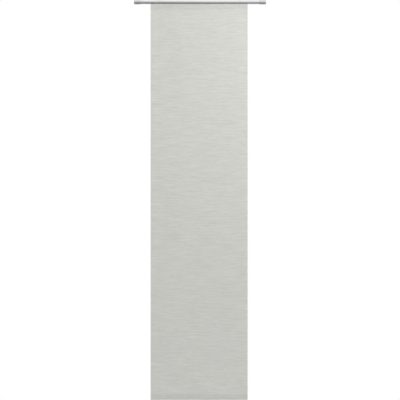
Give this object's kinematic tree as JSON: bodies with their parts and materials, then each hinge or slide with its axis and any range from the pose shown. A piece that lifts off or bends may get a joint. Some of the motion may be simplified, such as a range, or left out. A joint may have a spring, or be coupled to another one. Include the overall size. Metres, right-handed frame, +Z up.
{
  "type": "sliding panel curtain",
  "caption": "Flat fabric panel on a carrier whose gliders run in the slot of a round ceiling-hung rod, with sleeve end caps and a weight bar in the foot pocket.",
  "frame": {"origin": "on the ceiling plane that the two bracket plates lie against, midway between them and above the rod's axis", "axes": "+X along the rod, -Y towards the room, +Z up"},
  "size_m": [0.816, 0.05, 2.5037],
  "materials": {
    "rod_metal": "brushed along its length and clear anodised",
    "cap_metal": "turned, satin",
    "bracket_metal": "cast, satin",
    "fastener_steel": "bright zinc plated",
    "glider_nylon": "moulded, natural white",
    "carrier_metal": "mill finish",
    "hook_tape": "moulded hooks on a woven ground",
    "loop_tape": "brushed loops",
    "panel_cloth": "plain weave with horizontal slub yarns",
    "bar_metal": "mill finish",
    "bar_cap_plastic": "moulded"
  },
  "bodies": {
    "rail": {"track_rod": "rod_metal", "end_cap_left": "cap_metal", "end_cap_right": "cap_metal", "cap_screw_left": "fastener_steel", "cap_screw_right": "fastener_steel", "ceiling_bracket_left": "bracket_metal", "ceiling_bracket_right": "bracket_metal", "clamp_screw_left": "fastener_steel", "clamp_screw_right": "fastener_steel", "channel_nut_left": "fastener_steel", "channel_nut_right": "fastener_steel", "end_stop_left": "glider_nylon", "end_stop_right": "glider_nylon", "stop_screw_left": "fastener_steel", "stop_screw_right": "fastener_steel"},
    "panel": {"glider_1": "glider_nylon", "glider_2": "glider_nylon", "glider_3": "glider_nylon", "glider_4": "glider_nylon", "carrier": "carrier_metal", "hook_tape": "hook_tape", "loop_tape": "loop_tape", "fabric_panel": "panel_cloth", "weight_bar": "bar_metal", "bar_cap_left": "bar_cap_plastic", "bar_cap_right": "bar_cap_plastic"}
  },
  "joints": [
    {"name": "panel_slide", "type": "slide", "parent": "rail", "child": "panel", "axis": [1, 0, 0], "range_m": [-0.059, 0.07]}
  ]
}
